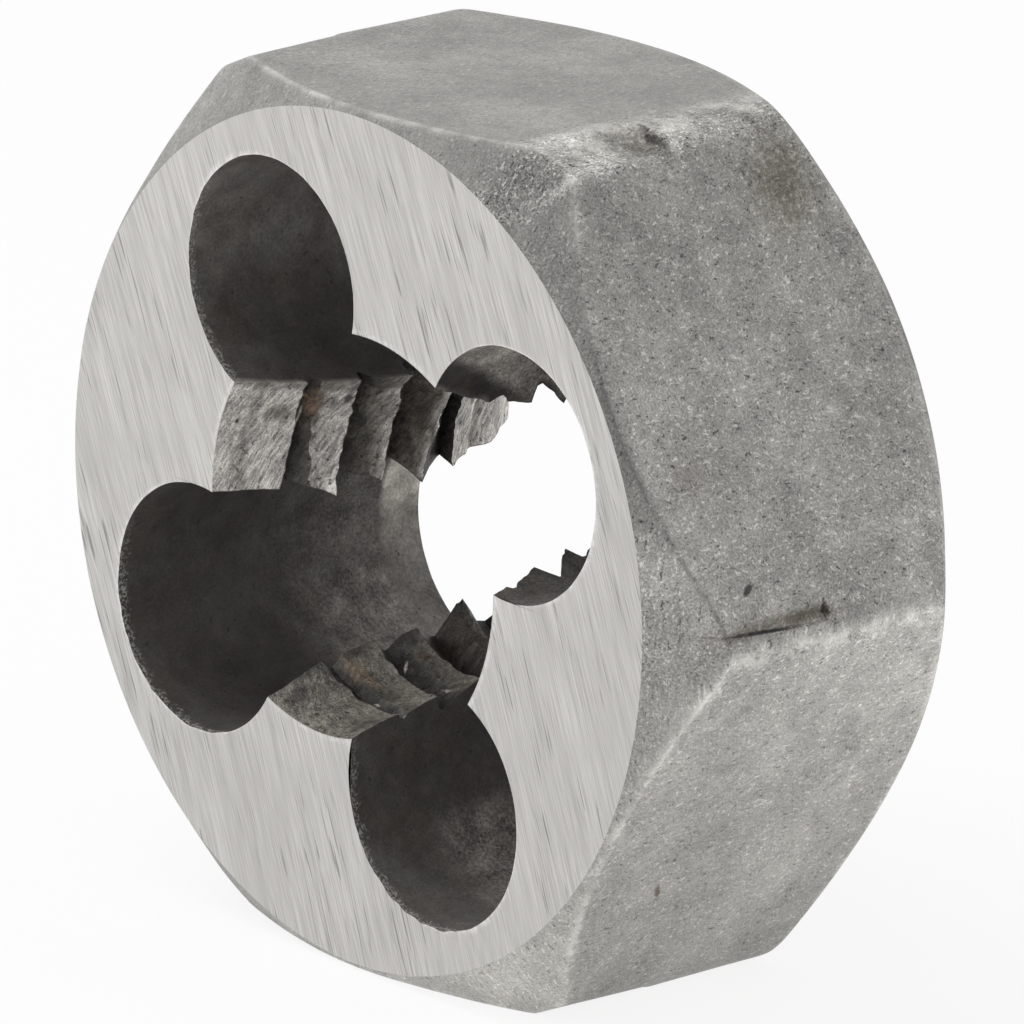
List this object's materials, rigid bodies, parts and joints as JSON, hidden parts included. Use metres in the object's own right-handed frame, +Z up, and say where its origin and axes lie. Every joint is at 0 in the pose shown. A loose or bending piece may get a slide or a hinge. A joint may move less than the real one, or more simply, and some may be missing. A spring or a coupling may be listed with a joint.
{
  "type": "hex rethreading die",
  "caption": "Hexagonal rethreading die: a hardened steel block with a right-hand internal thread on toothed lands, parted by round chip clearance holes.",
  "frame": {"origin": "middle of the bottom flat that the die stands on, halfway through its thickness", "axes": "+Z up, square to the bottom flat; the thread's axis runs along Y, and -Y is the way that the ground entry face looks"},
  "size_m": [0.036, 0.0142, 0.0317],
  "materials": {
    "die_steel": "hardened tool steel: bright ground entry face, grey blasted flats and chamfers, dark hole walls with rust specks, cut thread lands"
  },
  "bodies": {
    "root": {"hex_die": "die_steel"}
  },
  "joints": []
}
